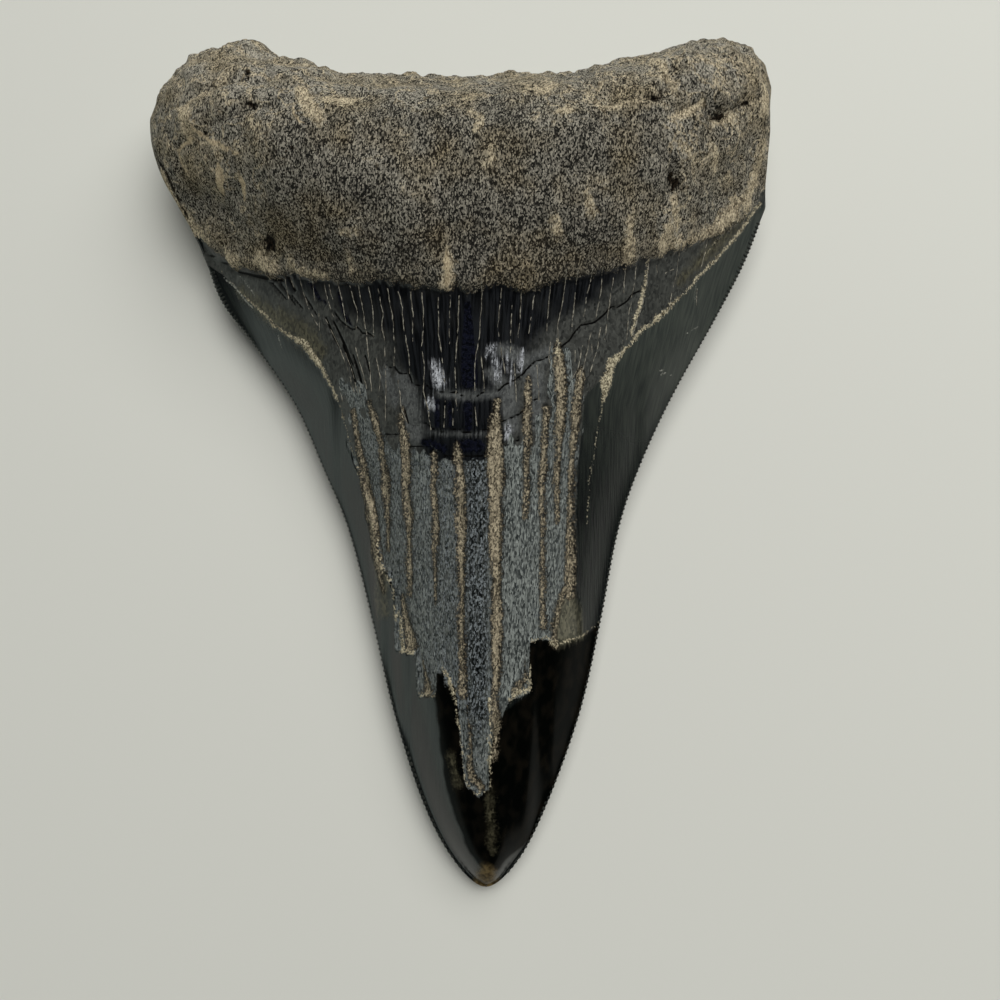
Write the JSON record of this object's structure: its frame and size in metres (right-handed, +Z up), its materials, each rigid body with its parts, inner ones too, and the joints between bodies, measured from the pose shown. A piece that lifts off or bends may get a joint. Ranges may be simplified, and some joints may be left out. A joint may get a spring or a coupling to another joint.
{
  "type": "megalodon tooth",
  "caption": "Large triangular fossil shark tooth with serrated cutting edges, flaked enamel and a thick arched root, lying flat on its labial face.",
  "frame": {"origin": "on the resting plane, under the middle of the tooth's box", "axes": "+X across the tooth to its right side seen from above, +Y from the tip to the root, +Z up out of the lingual face"},
  "size_m": [0.0916, 0.1186, 0.0222],
  "materials": {
    "tooth": "fossil tooth: satin blue-black to grey-green enamel, glossy black near the tip, grainy slate dentine where enamel has flaked, and a dull brown-grey granular root with tan sediment in its cracks"
  },
  "bodies": {
    "root": {"tooth": "tooth"}
  },
  "joints": []
}
